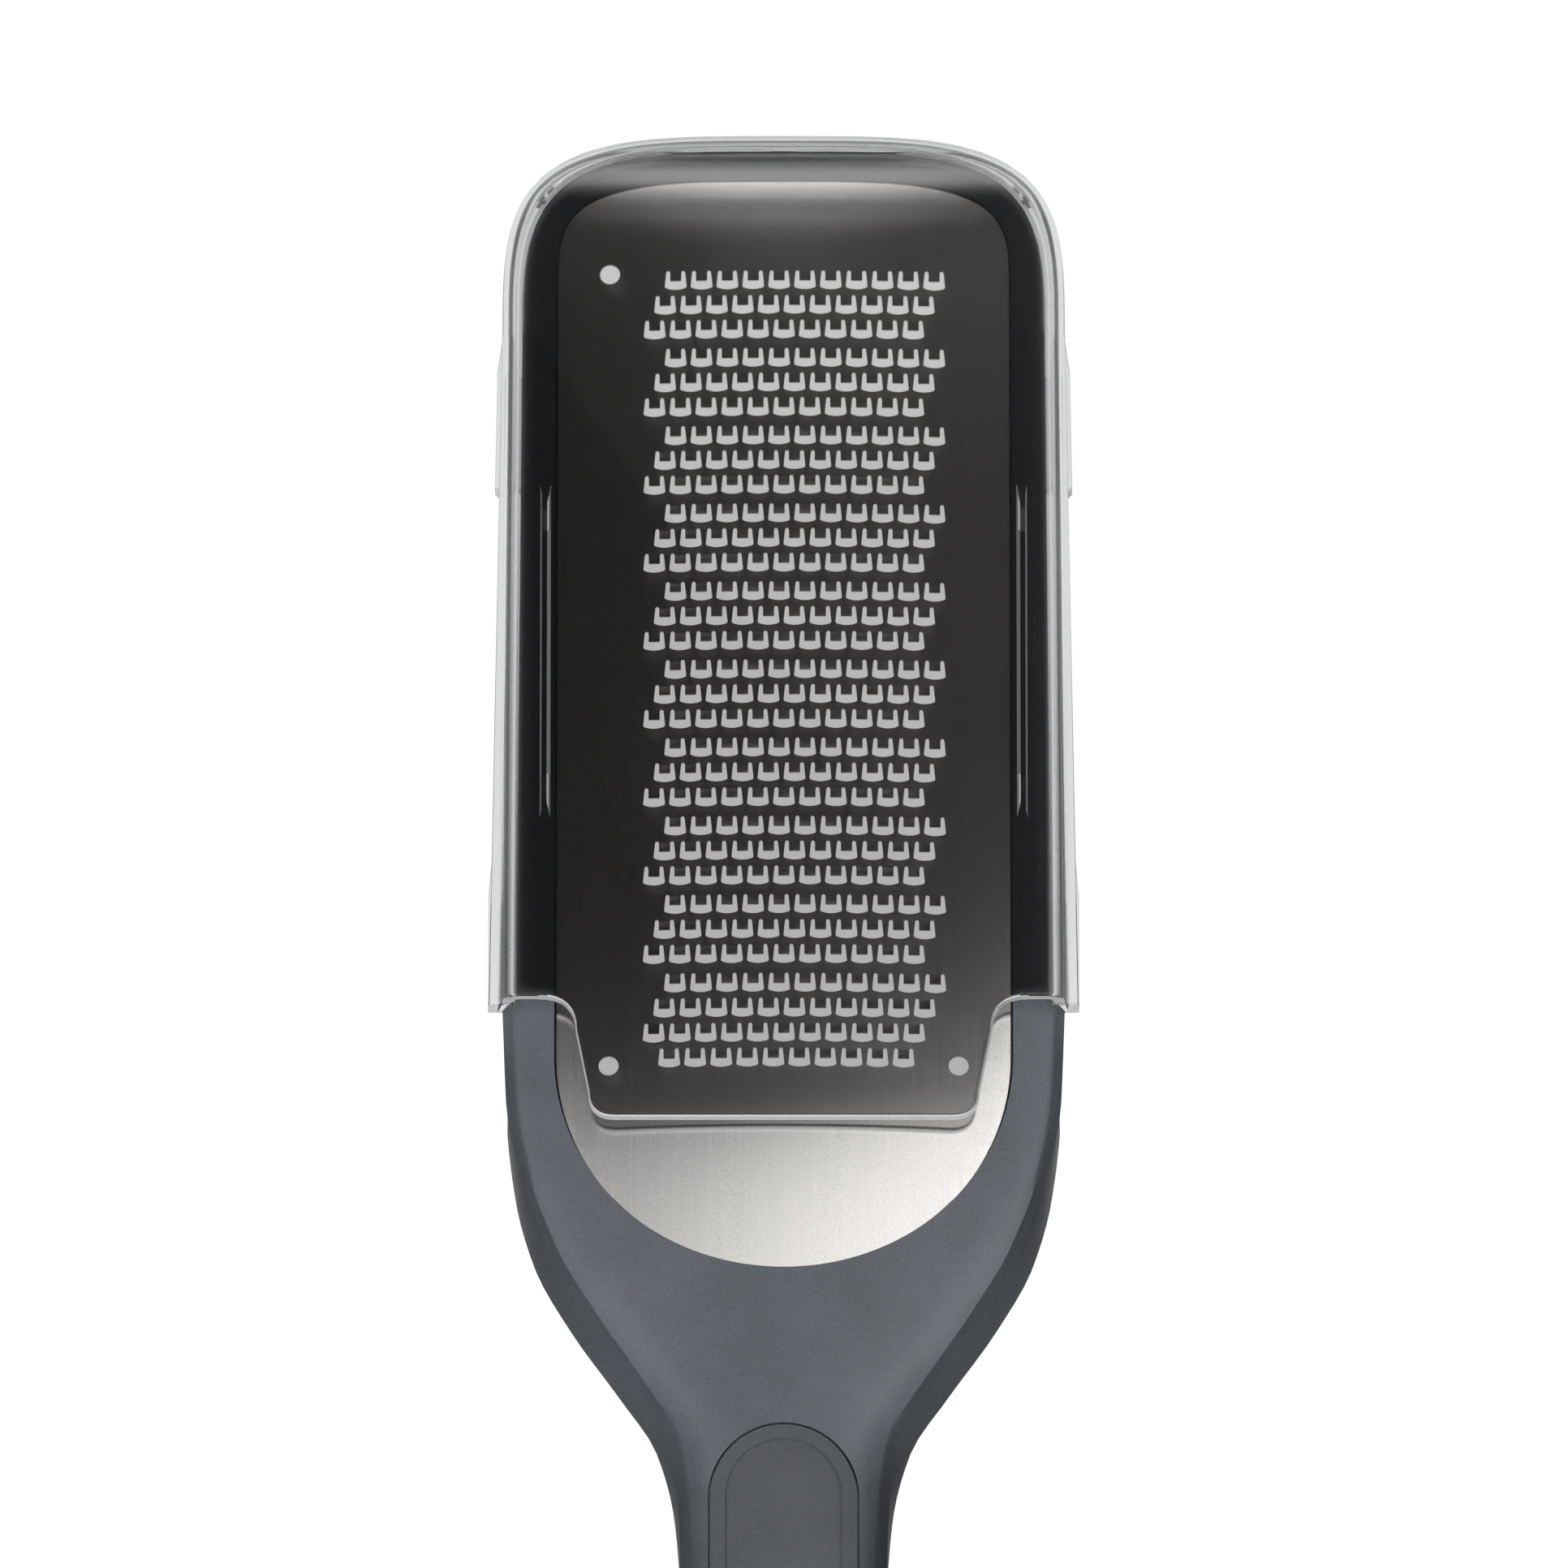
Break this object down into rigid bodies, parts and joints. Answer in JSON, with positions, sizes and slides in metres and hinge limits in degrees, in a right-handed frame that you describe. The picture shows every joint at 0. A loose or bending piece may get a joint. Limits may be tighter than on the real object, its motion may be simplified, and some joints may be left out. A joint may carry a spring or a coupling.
{
  "type": "fine grater",
  "caption": "Flat hand-held fine grater with an etched steel blade in a grey frame, a handle with soft inlays and a transparent slide-off protective cover.",
  "frame": {"origin": "middle of the length and width, on the plane the flat back lies on", "axes": "+X across the head, +Y along the length from the handle to the tip, +Z out of the grating face"},
  "size_m": [0.08, 0.29, 0.0203],
  "materials": {
    "blade_steel": "stainless sheet brushed along its length",
    "front_shell": "matte grey moulding",
    "back_shell": "matte dark grey moulding",
    "soft_grip": "soft matte elastomer",
    "cover_plastic": "clear, lightly smoked, polished"
  },
  "bodies": {
    "grater": {"blade": "blade_steel", "front_frame": "front_shell", "back_frame": "back_shell", "thumb_inlay": "soft_grip", "finger_inlay": "soft_grip", "tip_foot": "soft_grip"},
    "cover": {"protective_cover": "cover_plastic"}
  },
  "joints": [
    {"name": "cover_slide", "type": "slide", "parent": "grater", "child": "cover", "axis": [0, 1, 0], "range_m": [0, 0.15]}
  ]
}
